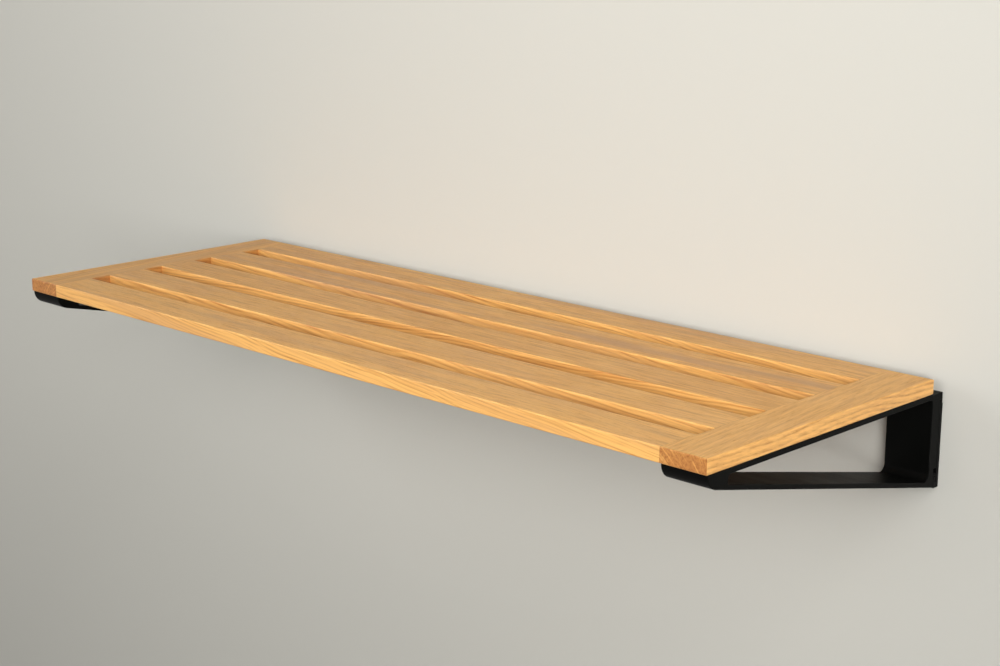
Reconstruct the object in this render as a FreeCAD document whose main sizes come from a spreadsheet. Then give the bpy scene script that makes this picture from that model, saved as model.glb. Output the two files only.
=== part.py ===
import FreeCAD, Part
import math
import os
import Sketcher

# Wall-hung shoe shelf: a slatted oak top on two extruded aluminium brackets, each hooked on a wall plate.
# X runs along the shelf, the wall is the plane y = 0 with the front towards -Y, and Z is up.
# The origin is on the wall, in the middle of the four screw holes of the two wall plates.

SIZES = (
    # name, millimetres, what it measures
    ("shelf_length", 800, "oak top, over both end rails"),
    ("rail_width", 40, "end rail, along the shelf"),
    ("slat_width", 40, "each long slat, front to back"),
    ("slot_width", 20, "open slot between two slats"),
    ("wood_thickness", 12, "rails and slats"),
    ("wood_arris", 1, "round on the upper and lower edges of the oak top"),
    ("wall_gap", 15, "wall to the back edge of the oak"),
    ("tenon_thickness", 5, "loose beech tenon, with round edges"),
    ("tenon_width", 20, "loose tenon, front to back over its round edges"),
    ("tenon_length", 30, "loose tenon, half in the rail and half in the slat"),
    ("tenon_clearance", 0.05, "glue line around a tenon"),
    ("tenon_end_gap", 0.5, "glue room past each end of a tenon"),
    ("bracket_width", 40, "cut length of the bracket and wall plate profiles"),
    ("bracket_height", 76.5, "oak underside to the lowest corner of the bracket"),
    ("nose_setback", 1.5, "bracket front behind the front of the oak"),
    ("nose_drop", 10, "oak underside to the corner of the nose before rounding"),
    ("nose_radius", 12, "round of the nose"),
    ("nose_land", 22.5, "solid nose, bracket front to the window"),
    ("top_leg", 4.3, "wall of the profile under the oak"),
    ("flange_drop", 0.8, "oak underside to the flange behind the oak"),
    ("lower_leg", 3.8, "wall of the sloping strut"),
    ("back_leg", 14.2, "wall to the back face of the window"),
    ("window_front_radius", 3.5, "window corner above the nose"),
    ("window_tip_radius", 1.6, "window corner where the strut leaves the nose"),
    ("window_back_radius", 3.5, "window corner under the back of the oak"),
    ("window_heel_radius", 6, "window corner where the strut meets the back leg"),
    ("end_chamfer", 0.4, "deburred cut ends of the bracket"),
    ("plate_thickness", 3.2, "web of the wall plate"),
    ("wall_clearance", 0.3, "bracket lip to the wall"),
    ("hook_clearance", 0.2, "room beside each hook"),
    ("hang_drop", 6.3, "oak underside to the tongue that carries the bracket"),
    ("tongue_height", 3.2, "tongue at the top of the wall plate"),
    ("top_lip", 1, "bracket lip behind the tongue"),
    ("heel_lip", 1.3, "bracket lip behind the prong"),
    ("heel_lip_gap", 1.4, "under the heel lip, to the foot of the wall plate"),
    ("prong_thickness", 1.8, "prong at the bottom of the wall plate"),
    ("prong_height", 4.6, "prong above its foot"),
    ("prong_end_gap", 0.5, "above the prong"),
    ("foot_thickness", 4.6, "foot of the wall plate"),
    ("foot_drop", 0.5, "lowest corner of the bracket to the bottom of the foot"),
    ("hook_bridge", 2, "bracket wall that carries the heel lip"),
    ("hook_round", 0.6, "round on the ends of the heel lip and the prong"),
    ("heel_round", 0.6, "round on the bracket's heel and on the plate's foot"),
    ("pocket_height", 4.2, "hollow above the heel hook"),
    ("pocket_depth", 3.9, "hollow above the heel hook, into the back leg"),
    ("hole_drop", 40, "oak underside to the middle of the wall screw holes"),
    ("hole_spacing", 40, "between the two wall screw holes of a plate"),
    ("hole_diameter", 4.5, "wall screw hole"),
    ("sink_diameter", 8, "countersink of a wall screw hole"),
    ("screw_diameter", 3.5, "bracket screw shank"),
    ("screw_cover", 2.5, "oak left above the point of a bracket screw"),
    ("screw_point", 3, "tapered point of a bracket screw"),
    ("head_diameter", 7, "bracket screw head"),
    ("head_height", 2.2, "bracket screw head"),
    ("head_bevel", 1.2, "slope around the screw head"),
    ("socket_width", 2.5, "hexagon socket of the screw head, across flats"),
    ("socket_depth", 1.4, "hexagon socket"),
    ("screw_clearance", 0.25, "radial room of a screw in the bracket"),
    ("pilot_clearance", 0.05, "radial room of a screw in the oak"),
    ("pilot_end_gap", 0.5, "past the point of a screw in the oak"),
)
SLAT_COUNT = 5
BRACKET_SCREWS = 2
SLATS_PER_SCREW = 2  # slats from one bracket screw to the next
SINK_ANGLE = 90  # degrees, countersink of a wall screw hole
FULL_TURN = 360  # degrees
SPARE = 5  # how far cutting boxes reach past the oak
NEAR = 1e-4  # two places closer than this are one place

document = FreeCAD.newDocument("shoe_shelf")
sheet = document.addObject("Spreadsheet::Sheet", "sizes")
for row, (alias, millimetres, note) in enumerate(SIZES, start=1):
    sheet.set(f"A{row}", note)
    sheet.set(f"B{row}", str(millimetres))
    sheet.setAlias(f"B{row}", alias)
document.recompute()

# Places along the shelf
HALF = "(sizes.shelf_length / 2)"
JOINT = f"({HALF} - sizes.rail_width)"
BRACKET_MIDDLE = f"({HALF} - sizes.bracket_width / 2)"

# Distances from the wall
PITCH = "(sizes.slat_width + sizes.slot_width)"
SCREW_PITCH = f"({SLATS_PER_SCREW} * {PITCH})"
OAK_DEPTH = f"({SLAT_COUNT} * sizes.slat_width + {SLAT_COUNT - 1} * sizes.slot_width)"
OAK_FRONT = f"(sizes.wall_gap + {OAK_DEPTH})"
BRACKET_FRONT = f"({OAK_FRONT} - sizes.nose_setback)"
WINDOW_FRONT = f"({BRACKET_FRONT} - sizes.nose_land)"
TOP_LIP_FRONT = "(sizes.wall_clearance + sizes.top_lip)"
TONGUE_BACK = f"({TOP_LIP_FRONT} + sizes.hook_clearance)"
LEG_BACK = "(sizes.plate_thickness + sizes.hook_clearance)"
HEEL_LIP_FRONT = f"({LEG_BACK} + sizes.heel_lip)"
PRONG_BACK = f"({HEEL_LIP_FRONT} + sizes.hook_clearance)"
PRONG_FRONT = f"({PRONG_BACK} + sizes.prong_thickness)"
HEEL_FRONT = f"({PRONG_FRONT} + sizes.hook_clearance)"
POCKET_FRONT = f"({LEG_BACK} + sizes.pocket_depth)"
FIRST_SCREW = "(sizes.wall_gap + sizes.slat_width + sizes.slot_width / 2)"

# Drops below the underside of the oak
FOOT_BOTTOM = "(sizes.bracket_height + sizes.foot_drop)"
FOOT_TOP = f"({FOOT_BOTTOM} - sizes.foot_thickness)"
PRONG_TOP = f"({FOOT_TOP} - sizes.prong_height)"
HEEL_SLOT_TOP = f"({PRONG_TOP} - sizes.prong_end_gap)"
POCKET_BOTTOM = f"({HEEL_SLOT_TOP} - sizes.hook_bridge)"
POCKET_TOP = f"({POCKET_BOTTOM} - sizes.pocket_height)"
HEEL_LIP_END = f"({FOOT_TOP} - sizes.heel_lip_gap)"
TONGUE_FOOT = "(sizes.hang_drop + sizes.tongue_height)"
TOP_LIP_END = f"({TONGUE_FOOT} - sizes.hook_clearance)"
STRUT_SLOPE = f"((sizes.bracket_height - sizes.nose_drop) / ({BRACKET_FRONT} - {HEEL_FRONT}))"
STRUT_RISE = f"(sizes.lower_leg * sqrt(1 + {STRUT_SLOPE} ^ 2))"

# Rounds, limited by the walls that they are on. The nose keeps an upright land above its round, taller than
# the chamfer of the cut ends, and its corner opens with the slope of the strut.
NOSE_UPRIGHT = "(1.1 * sizes.end_chamfer)"
NOSE_OPENING = f"({STRUT_SLOPE} + sqrt(1 + {STRUT_SLOPE} ^ 2))"
NOSE_ROUND = f"min(sizes.nose_radius; (sizes.nose_drop - {NOSE_UPRIGHT}) * {NOSE_OPENING})"
HEEL_ROUND = "min(sizes.heel_round; sizes.hook_bridge * 0.8)"
HEEL_LIP_ROUND = "min(sizes.hook_round; sizes.heel_lip / 3)"
PRONG_ROUND = "min(sizes.hook_round; sizes.prong_thickness / 3)"
FOOT_ROUND = "min(sizes.heel_round; sizes.foot_thickness / 2)"

# Heights above the wall screw holes
UNDERSIDE = "sizes.hole_drop"
OAK_MIDDLE = f"({UNDERSIDE} + sizes.wood_thickness / 2)"
SCREW_SEAT = f"({UNDERSIDE} - sizes.top_leg)"
SCREW_TIP = f"({UNDERSIDE} + sizes.wood_thickness - sizes.screw_cover)"


def millimetres_of(expression):
    """Present value of an expression over the sheet."""
    return float(sheet.evalExpression(expression))


def strut_inside(distance):
    """Drop of the strut's upper face at a distance from the wall."""
    return f"(sizes.nose_drop + {STRUT_SLOPE} * ({BRACKET_FRONT} - {distance}) - {STRUT_RISE})"


def side_corner(distance, drop):
    """Profile corner as sketch expressions (y, z), from its distance to the wall and drop below the oak."""
    return f"-({distance})", f"{UNDERSIDE} - ({drop})"


def new_body(label):
    """Empty body whose name and label are the sub-part's own."""
    return document.addObject("PartDesign::Body", label)


def new_sketch(body, plane_role, name, offset=None):
    """Sketch on one of the body's origin planes, moved along the plane's normal by an expression."""
    sketch = body.newObject("Sketcher::SketchObject", name)
    plane = next(item for item in body.Origin.OriginFeatures if item.Role == plane_role)
    sketch.AttachmentSupport = (plane, [""])
    sketch.MapMode = "FlatFace"
    if offset:
        sketch.setExpression("AttachmentOffset.Base.z", offset)
    return sketch


def bind(sketch, constraint, expression):
    """Add a dimension to a sketch and tie it to the sheet."""
    index = sketch.addConstraint(constraint)
    sketch.setExpression(f"Constraints[{index}]", expression)


def draw_polygon(sketch, corners):
    """Closed run of lines whose corners sit at pairs of expressions."""
    points = [FreeCAD.Vector(millimetres_of(across), millimetres_of(up), 0) for across, up in corners]
    first = sketch.GeometryCount
    last = first + len(points) - 1
    for start, end in zip(points, points[1:] + points[:1]):
        sketch.addGeometry(Part.LineSegment(start, end))
    for line, point, (across, up) in zip(range(first, last + 1), points, corners):
        following = first if line == last else line + 1
        sketch.addConstraint(Sketcher.Constraint("Coincident", line, 2, following, 1))
        bind(sketch, Sketcher.Constraint("DistanceX", -1, 1, line, 1, point.x), across)
        bind(sketch, Sketcher.Constraint("DistanceY", -1, 1, line, 1, point.y), up)


def draw_circle(sketch, across, up, radius):
    """Circle whose centre and radius are expressions."""
    centre = FreeCAD.Vector(millimetres_of(across), millimetres_of(up), 0)
    circle = sketch.addGeometry(Part.Circle(centre, FreeCAD.Vector(0, 0, 1), millimetres_of(radius)))
    bind(sketch, Sketcher.Constraint("DistanceX", -1, 1, circle, 3, centre.x), across)
    bind(sketch, Sketcher.Constraint("DistanceY", -1, 1, circle, 3, centre.y), up)
    bind(sketch, Sketcher.Constraint("Radius", circle, millimetres_of(radius)), radius)


def draw_slot(sketch, across, up, half_span, radius):
    """Level slot with round ends about a centre; half_span is from that centre to each end's own centre."""
    rise = millimetres_of(up)
    reach = millimetres_of(radius)
    normal = FreeCAD.Vector(0, 0, 1)
    ends = []
    for sign, first_angle in (("-", math.pi / 2), ("+", -math.pi / 2)):
        place_across = f"{across} {sign} {half_span}"
        centre = FreeCAD.Vector(millimetres_of(place_across), rise, 0)
        circle = Part.Circle(centre, normal, reach)
        end = sketch.addGeometry(Part.ArcOfCircle(circle, first_angle, first_angle + math.pi))
        bind(sketch, Sketcher.Constraint("DistanceX", -1, 1, end, 3, centre.x), place_across)
        bind(sketch, Sketcher.Constraint("DistanceY", -1, 1, end, 3, rise), up)
        ends.append((end, centre))
    (low_end, low_centre), (high_end, high_centre) = ends
    drop = FreeCAD.Vector(0, reach, 0)
    lower = sketch.addGeometry(Part.LineSegment(low_centre - drop, high_centre - drop))
    upper = sketch.addGeometry(Part.LineSegment(high_centre + drop, low_centre + drop))
    for first, following in ((low_end, lower), (lower, high_end), (high_end, upper), (upper, low_end)):
        sketch.addConstraint(Sketcher.Constraint("Tangent", first, 2, following, 1))
    sketch.addConstraint(Sketcher.Constraint("Equal", low_end, high_end))
    bind(sketch, Sketcher.Constraint("Radius", low_end, reach), radius)


def pad(body, sketch, length, midplane=False):
    """Pad of a sketch, brought up to date so that its edges can be picked."""
    feature = body.newObject("PartDesign::Pad", "pad")
    feature.Profile = sketch
    feature.Midplane = midplane
    feature.setExpression("Length", length)
    document.recompute()
    return feature


def pocket(body, sketch, depth, reverse=False):
    """Pocket of a sketch that must take material away."""
    before = body.Shape.Volume
    feature = body.newObject("PartDesign::Pocket", "pocket")
    feature.Profile = sketch
    feature.Reversed = reverse
    feature.setExpression("Length", depth)
    document.recompute()
    if not feature.Shape.Volume < before:
        raise RuntimeError(f"{body.Label}: a pocket cuts nothing")
    return feature


def dress(body, kind, base, edge_names, size_name, size):
    """Fillet or chamfer on named edges of the latest feature."""
    feature = body.newObject(f"PartDesign::{kind}", kind.lower())
    feature.Base = (base, edge_names)
    feature.setExpression(size_name, size)
    document.recompute()
    return feature


def edges_at(feature, corners):
    """Names of the feature's edges along X through the given profile corners."""
    spots = [(millimetres_of(across), millimetres_of(up)) for across, up in corners]
    names = []
    for number, edge in enumerate(feature.Shape.Edges, start=1):
        start, end = edge.Vertexes[0].Point, edge.Vertexes[-1].Point
        along_x = abs(start.y - end.y) < NEAR and abs(start.z - end.z) < NEAR
        if along_x and any(abs(start.y - y) < NEAR and abs(start.z - z) < NEAR for y, z in spots):
            names.append(f"Edge{number}")
    return names


def repeat(body, sketch, axis, span, count, reverse=False):
    """The whole body repeated along a sketch axis over a span."""
    feature = body.newObject("PartDesign::LinearPattern", "pattern")
    feature.TransformMode = "Whole shape"
    feature.Direction = (sketch, [axis])
    feature.Reversed = reverse
    feature.setExpression("Length", span)
    feature.Occurrences = count
    body.Tip = feature
    document.recompute()
    return feature


def place(item, x="0", y="0"):
    """Placement of a sub-part from expressions."""
    item.setExpression("Placement.Base.x", x)
    item.setExpression("Placement.Base.y", y)


def oak_panel():
    """The whole glued top, slots open and level arrises rounded, from which rails and slats are cut."""
    body = new_body("oak_panel")
    sketch = new_sketch(body, "XY_Plane", "panel_outline", UNDERSIDE)

    def rectangle(half_length, nearest, farthest):
        return [
            (f"-{half_length}", f"-({farthest})"),
            (half_length, f"-({farthest})"),
            (half_length, f"-({nearest})"),
            (f"-{half_length}", f"-({nearest})"),
        ]

    draw_polygon(sketch, rectangle(HALF, "sizes.wall_gap", OAK_FRONT))
    for slot in range(SLAT_COUNT - 1):
        nearest = f"sizes.wall_gap + sizes.slat_width + {slot} * {PITCH}"
        draw_polygon(sketch, rectangle(JOINT, nearest, f"{nearest} + sizes.slot_width"))
    panel = pad(body, sketch, "sizes.wood_thickness")

    level_edges = [
        f"Edge{number}"
        for number, edge in enumerate(panel.Shape.Edges, start=1)
        if abs(edge.Vertexes[0].Z - edge.Vertexes[-1].Z) < NEAR
    ]
    dress(body, "Fillet", panel, level_edges, "Radius", "sizes.wood_arris")
    return body


def oak_piece(label, panel, holes, left, right, nearest, farthest):
    """One rail or slat: its stretch of the panel, less its mortises and screw holes."""
    blank = document.addObject("Part::Box", f"{label}_blank")
    place(blank, left, f"-({farthest})")
    blank.setExpression("Placement.Base.z", f"{UNDERSIDE} - {SPARE}")
    blank.setExpression("Length", f"{right} - ({left})")
    blank.setExpression("Width", f"{farthest} - ({nearest})")
    blank.setExpression("Height", f"sizes.wood_thickness + {2 * SPARE}")
    stretch = document.addObject("Part::Common", f"{label}_stretch")
    stretch.Base = panel
    stretch.Tool = blank
    piece = document.addObject("Part::Cut", label)
    piece.Base = stretch
    piece.Tool = holes
    document.recompute()
    if not piece.Shape.Volume < stretch.Shape.Volume:
        raise RuntimeError(f"{label}: its holes cut nothing")
    return piece


def tenon_row(label, side, radius, length):
    """One flat pin at each slat end along one joint: the loose tenons, or the mortises that take them."""
    body = new_body(label)
    sketch = new_sketch(body, "YZ_Plane", f"{label}_outline")
    middle = "-(sizes.wall_gap + sizes.slat_width / 2)"
    half_span = "(sizes.tenon_width - sizes.tenon_thickness) / 2"
    draw_slot(sketch, middle, OAK_MIDDLE, half_span, radius)
    pad(body, sketch, length, midplane=True)
    repeat(body, sketch, "H_Axis", f"{SLAT_COUNT - 1} * {PITCH}", SLAT_COUNT, reverse=True)
    place(body, f"{side} * {JOINT}")
    return body


def pilot_row(label, side):
    """Blind holes in one end rail for the bracket screws."""
    body = new_body(label)
    sketch = new_sketch(body, "XY_Plane", f"{label}_circle", UNDERSIDE)
    draw_circle(sketch, "0", f"-{FIRST_SCREW}", "sizes.screw_diameter / 2 + sizes.pilot_clearance")
    pad(body, sketch, f"{SCREW_TIP} - {UNDERSIDE} + sizes.pilot_end_gap")
    repeat(body, sketch, "V_Axis", f"{BRACKET_SCREWS - 1} * {SCREW_PITCH}", BRACKET_SCREWS, reverse=True)
    place(body, f"{side} * {BRACKET_MIDDLE}")
    return body


def bracket(label, side):
    """Closed extruded loop: seat under the oak, rounded nose, sloping strut and hooked back leg."""
    body = new_body(label)
    sketch = new_sketch(body, "YZ_Plane", f"{label}_profile")
    nose = side_corner(BRACKET_FRONT, "sizes.nose_drop")
    heel = side_corner(HEEL_FRONT, "sizes.bracket_height")
    hook_back = side_corner(LEG_BACK, POCKET_BOTTOM)
    heel_lip_end = [side_corner(HEEL_LIP_FRONT, HEEL_LIP_END), side_corner(LEG_BACK, HEEL_LIP_END)]
    outside = [
        side_corner("sizes.wall_clearance", "sizes.flange_drop"),
        side_corner("sizes.wall_gap", "sizes.flange_drop"),
        side_corner("sizes.wall_gap", "0"),
        side_corner(BRACKET_FRONT, "0"),
        nose,
        heel,
        side_corner(HEEL_FRONT, HEEL_SLOT_TOP),
        side_corner(HEEL_LIP_FRONT, HEEL_SLOT_TOP),
        *heel_lip_end,
        hook_back,
        side_corner(POCKET_FRONT, POCKET_BOTTOM),
        side_corner(POCKET_FRONT, POCKET_TOP),
        side_corner(LEG_BACK, POCKET_TOP),
        side_corner(LEG_BACK, "sizes.hang_drop"),
        side_corner(TOP_LIP_FRONT, "sizes.hang_drop"),
        side_corner(TOP_LIP_FRONT, TOP_LIP_END),
        side_corner("sizes.wall_clearance", TOP_LIP_END),
    ]
    window_back = side_corner("sizes.back_leg", "sizes.top_leg")
    window_front = side_corner(WINDOW_FRONT, "sizes.top_leg")
    window_tip = side_corner(WINDOW_FRONT, strut_inside(WINDOW_FRONT))
    window_heel = side_corner("sizes.back_leg", strut_inside("sizes.back_leg"))
    draw_polygon(sketch, outside)
    draw_polygon(sketch, [window_back, window_front, window_tip, window_heel])
    loop = pad(body, sketch, "sizes.bracket_width", midplane=True)

    rounds = (
        ([nose], NOSE_ROUND),
        ([window_back], "sizes.window_back_radius"),
        ([window_front], "sizes.window_front_radius"),
        ([window_tip], "sizes.window_tip_radius"),
        ([window_heel], "sizes.window_heel_radius"),
        ([heel, hook_back], HEEL_ROUND),
        (heel_lip_end, HEEL_LIP_ROUND),
    )
    for corners, radius in rounds:
        loop = dress(body, "Fillet", loop, edges_at(loop, corners), "Radius", radius)

    cut_ends = [
        f"Face{number}"
        for number, face in enumerate(loop.Shape.Faces, start=1)
        if abs(abs(face.normalAt(0, 0).x) - 1) < NEAR
    ]
    dress(body, "Chamfer", loop, cut_ends, "Size", "sizes.end_chamfer")

    screw_sketch = new_sketch(body, "XY_Plane", f"{label}_screw_holes", UNDERSIDE)
    for screw in range(BRACKET_SCREWS):
        distance = f"-({FIRST_SCREW} + {screw} * {SCREW_PITCH})"
        draw_circle(screw_sketch, "0", distance, "sizes.screw_diameter / 2 + sizes.screw_clearance")
    pocket(body, screw_sketch, "sizes.top_leg")
    place(body, f"{side} * {BRACKET_MIDDLE}")
    return body


def wall_plate(label, side):
    """Extruded plate for the wall: tongue on top, up-turned prong at the foot, countersunk screw holes."""
    body = new_body(label)
    sketch = new_sketch(body, "YZ_Plane", f"{label}_profile")
    prong = [side_corner(PRONG_BACK, PRONG_TOP), side_corner(PRONG_FRONT, PRONG_TOP)]
    foot = side_corner(PRONG_FRONT, FOOT_BOTTOM)
    corners = [
        side_corner("0", FOOT_BOTTOM),
        side_corner("0", TONGUE_FOOT),
        side_corner(TONGUE_BACK, TONGUE_FOOT),
        side_corner(TONGUE_BACK, "sizes.hang_drop"),
        side_corner("sizes.plate_thickness", "sizes.hang_drop"),
        side_corner("sizes.plate_thickness", FOOT_TOP),
        side_corner(PRONG_BACK, FOOT_TOP),
        *prong,
        foot,
    ]
    draw_polygon(sketch, corners)
    web = pad(body, sketch, "sizes.bracket_width", midplane=True)
    web = dress(body, "Fillet", web, edges_at(web, prong), "Radius", PRONG_ROUND)
    dress(body, "Fillet", web, edges_at(web, [foot]), "Radius", FOOT_ROUND)

    holes = new_sketch(body, "XZ_Plane", f"{label}_holes", "sizes.plate_thickness")
    for sign in "-+":
        draw_circle(holes, "0", f"{sign}sizes.hole_spacing / 2", "sizes.hole_diameter / 2")
    document.recompute()
    before = body.Shape.Volume
    hole = body.newObject("PartDesign::Hole", "screw_holes")
    hole.Profile = holes
    hole.DepthType = "ThroughAll"
    hole.setExpression("Diameter", "sizes.hole_diameter")
    hole.HoleCutType = "Countersink"
    hole.HoleCutCustomValues = True
    hole.setExpression("HoleCutDiameter", "sizes.sink_diameter")
    hole.HoleCutCountersinkAngle = SINK_ANGLE
    document.recompute()
    if not hole.Shape.Volume < before:
        raise RuntimeError(f"{label}: its screw holes cut nothing")
    place(body, f"{side} * {BRACKET_MIDDLE}")
    return body


def screw_row(label, side):
    """Button-head wood screws, driven up through one bracket into its end rail with a bent hexagon key."""
    body = new_body(label)
    sketch = new_sketch(body, "XZ_Plane", f"{label}_section")
    head_bottom = f"({SCREW_SEAT} - sizes.head_height)"
    section = [
        ("0", head_bottom),
        ("sizes.head_diameter / 2 - sizes.head_bevel", head_bottom),
        ("sizes.head_diameter / 2", f"{head_bottom} + sizes.head_bevel"),
        ("sizes.head_diameter / 2", SCREW_SEAT),
        ("sizes.screw_diameter / 2", SCREW_SEAT),
        ("sizes.screw_diameter / 2", f"{SCREW_TIP} - sizes.screw_point"),
        ("0", SCREW_TIP),
    ]
    draw_polygon(sketch, section)
    turned = body.newObject("PartDesign::Revolution", "turned")
    turned.Profile = sketch
    turned.ReferenceAxis = (sketch, ["V_Axis"])
    turned.Angle = FULL_TURN
    document.recompute()

    socket = new_sketch(body, "XY_Plane", f"{label}_socket", head_bottom)
    flat, corner = "sizes.socket_width / 2", "sizes.socket_width / sqrt(3)"
    hexagon = [
        (corner, "0"),
        (f"{corner} / 2", flat),
        (f"-{corner} / 2", flat),
        (f"-{corner}", "0"),
        (f"-{corner} / 2", f"-{flat}"),
        (f"{corner} / 2", f"-{flat}"),
    ]
    draw_polygon(socket, hexagon)
    pocket(body, socket, "sizes.socket_depth", reverse=True)
    repeat(body, sketch, "N_Axis", f"{BRACKET_SCREWS - 1} * {SCREW_PITCH}", BRACKET_SCREWS)
    place(body, f"{side} * {BRACKET_MIDDLE}", f"-{FIRST_SCREW}")
    return body


def oak_top(holes):
    """The two end rails and the five slats between them, front to back."""
    panel = oak_panel()
    back, front = f"sizes.wall_gap - {SPARE}", f"{OAK_FRONT} + {SPARE}"
    outer = f"({HALF} + {SPARE})"
    pieces = [
        oak_piece("end_rail_left", panel, holes, f"-{outer}", f"-{JOINT}", back, front),
        oak_piece("end_rail_right", panel, holes, JOINT, outer, back, front),
    ]
    middle_names = [f"middle_slat_{number}" for number in range(1, SLAT_COUNT - 1)]
    names = ["front_slat", *middle_names, "back_slat"]
    for number, name in enumerate(names):
        farthest = f"{OAK_FRONT} + sizes.slot_width / 2 - {number} * {PITCH}"
        pieces.append(oak_piece(name, panel, holes, f"-{JOINT}", JOINT, f"{farthest} - {PITCH}", farthest))
    return pieces


def build():
    """Every sub-part of the shelf."""
    sides = (("left", -1), ("right", 1))
    radius = "sizes.tenon_thickness / 2"
    mortise_radius = f"{radius} + sizes.tenon_clearance"
    mortise_length = "sizes.tenon_length + 2 * sizes.tenon_end_gap"
    hole_rows = []
    for name, side in sides:
        hole_rows.append(tenon_row(f"mortises_{name}", side, mortise_radius, mortise_length))
        hole_rows.append(pilot_row(f"pilot_holes_{name}", side))
    holes = document.addObject("Part::Compound", "oak_holes")
    holes.Links = hole_rows
    pieces = oak_top(holes)
    for name, side in sides:
        pieces += [
            tenon_row(f"tenons_{name}", side, radius, "sizes.tenon_length"),
            bracket(f"bracket_{name}", side),
            wall_plate(f"wall_plate_{name}", side),
            screw_row(f"bracket_screws_{name}", side),
        ]
    document.recompute()
    return pieces


def check(pieces):
    """Stop if anything in the document failed or a sub-part has no sound shape."""
    for item in document.Objects:
        if "Invalid" in item.State or "Error" in item.State:
            raise RuntimeError(f"{item.Label} failed: {item.State}")
    for piece in pieces:
        if piece.Shape.isNull() or not piece.Shape.isValid() or not piece.Shape.Solids:
            raise RuntimeError(f"{piece.Label} has no sound solid")


def write(pieces):
    """One STEP file for each sub-part, named by its label."""
    os.makedirs("parts", exist_ok=True)
    for piece in pieces:
        piece.Shape.exportStep(f"parts/{piece.Label}.step")
        box = piece.Shape.BoundBox
        print(
            f"{piece.Label}: {len(piece.Shape.Solids)} solid(s), {piece.Shape.Volume:.1f} mm3, "
            f"{box.XLength:.1f} x {box.YLength:.1f} x {box.ZLength:.1f} mm"
        )


sub_parts = build()
check(sub_parts)
write(sub_parts)
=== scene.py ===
"""Looks of the wall-hung shoe shelf: oiled oak slats on black anodised brackets, before a pale wall."""

from __future__ import annotations

import logging
import math
from dataclasses import dataclass, field
from enum import Enum

import bpy
from mathutils import Matrix, Vector


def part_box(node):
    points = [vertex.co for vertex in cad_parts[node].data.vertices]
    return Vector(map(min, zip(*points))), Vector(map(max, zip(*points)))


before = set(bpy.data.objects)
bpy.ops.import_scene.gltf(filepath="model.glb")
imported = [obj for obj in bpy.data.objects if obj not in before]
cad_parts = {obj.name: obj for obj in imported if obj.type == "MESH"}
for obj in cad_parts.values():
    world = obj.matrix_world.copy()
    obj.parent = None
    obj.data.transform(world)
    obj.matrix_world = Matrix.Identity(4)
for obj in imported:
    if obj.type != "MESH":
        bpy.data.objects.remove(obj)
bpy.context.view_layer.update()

LOG = logging.getLogger("shoe_shelf")

Triple = tuple[float, float, float]
Colour = Triple
Socket = bpy.types.NodeSocket
Outputs = bpy.types.bpy_prop_collection
Value = Socket | float | Triple

# How far from the middle of the shelf the slats end and the rails begin
JOINT_FROM_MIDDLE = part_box("front_slat")[1][0]

# Directions in the shelf's frame
SIDEWAYS: Triple = (1.0, 0.0, 0.0)
UPWARDS: Triple = (0.0, 0.0, 1.0)

# The gamma of a screen
SCREEN_WHITE = 255
SCREEN_KNEE = 0.04045
SCREEN_SLOPE = 12.92
SCREEN_OFFSET = 0.055
SCREEN_POWER = 2.4

# The value that a noise swings about
NOISE_MIDDLE = 0.5


class Grain(Enum):
    """Which way the fibres of a board run, as the turn from the length of the shelf."""

    ALONG_SHELF = 0.0
    FRONT_TO_BACK = 1.0


class Blend(Enum):
    """How one colour is laid over another."""

    MIX = "MIX"
    MULTIPLY = "MULTIPLY"


class Kind(Enum):
    """What a socket carries, as the nodes name it."""

    VALUE = "Float"
    VECTOR = "Vector"
    COLOUR = "Color"


@dataclass(frozen=True)
class Span:
    """A stretch of values over which something comes in or fades."""

    low: float
    high: float


@dataclass(frozen=True)
class Waves:
    """A noise: its waves per unit of each axis, its octaves, and the strength of the finer ones."""

    count: Triple
    detail: float = 2.0
    rough: float = 0.5

    @classmethod
    def even(cls, count: float, detail: float = 2.0, rough: float = 0.5) -> Waves:
        """Noise that is as fine every way."""
        return cls((count, count, count), detail, rough)


def without_gamma(share: float) -> float:
    """Take the screen's gamma off one channel of a colour.

    Args:
        share: The channel, 0 to 1.

    Returns:
        Its linear value.
    """
    if share <= SCREEN_KNEE:
        return share / SCREEN_SLOPE
    return ((share + SCREEN_OFFSET) / (1 + SCREEN_OFFSET)) ** SCREEN_POWER


def linear(red: int, green: int, blue: int) -> Colour:
    """Screen colour, each channel 0 to 255, as the linear colour that the shaders take."""
    return tuple(without_gamma(level / SCREEN_WHITE) for level in (red, green, blue))


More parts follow.
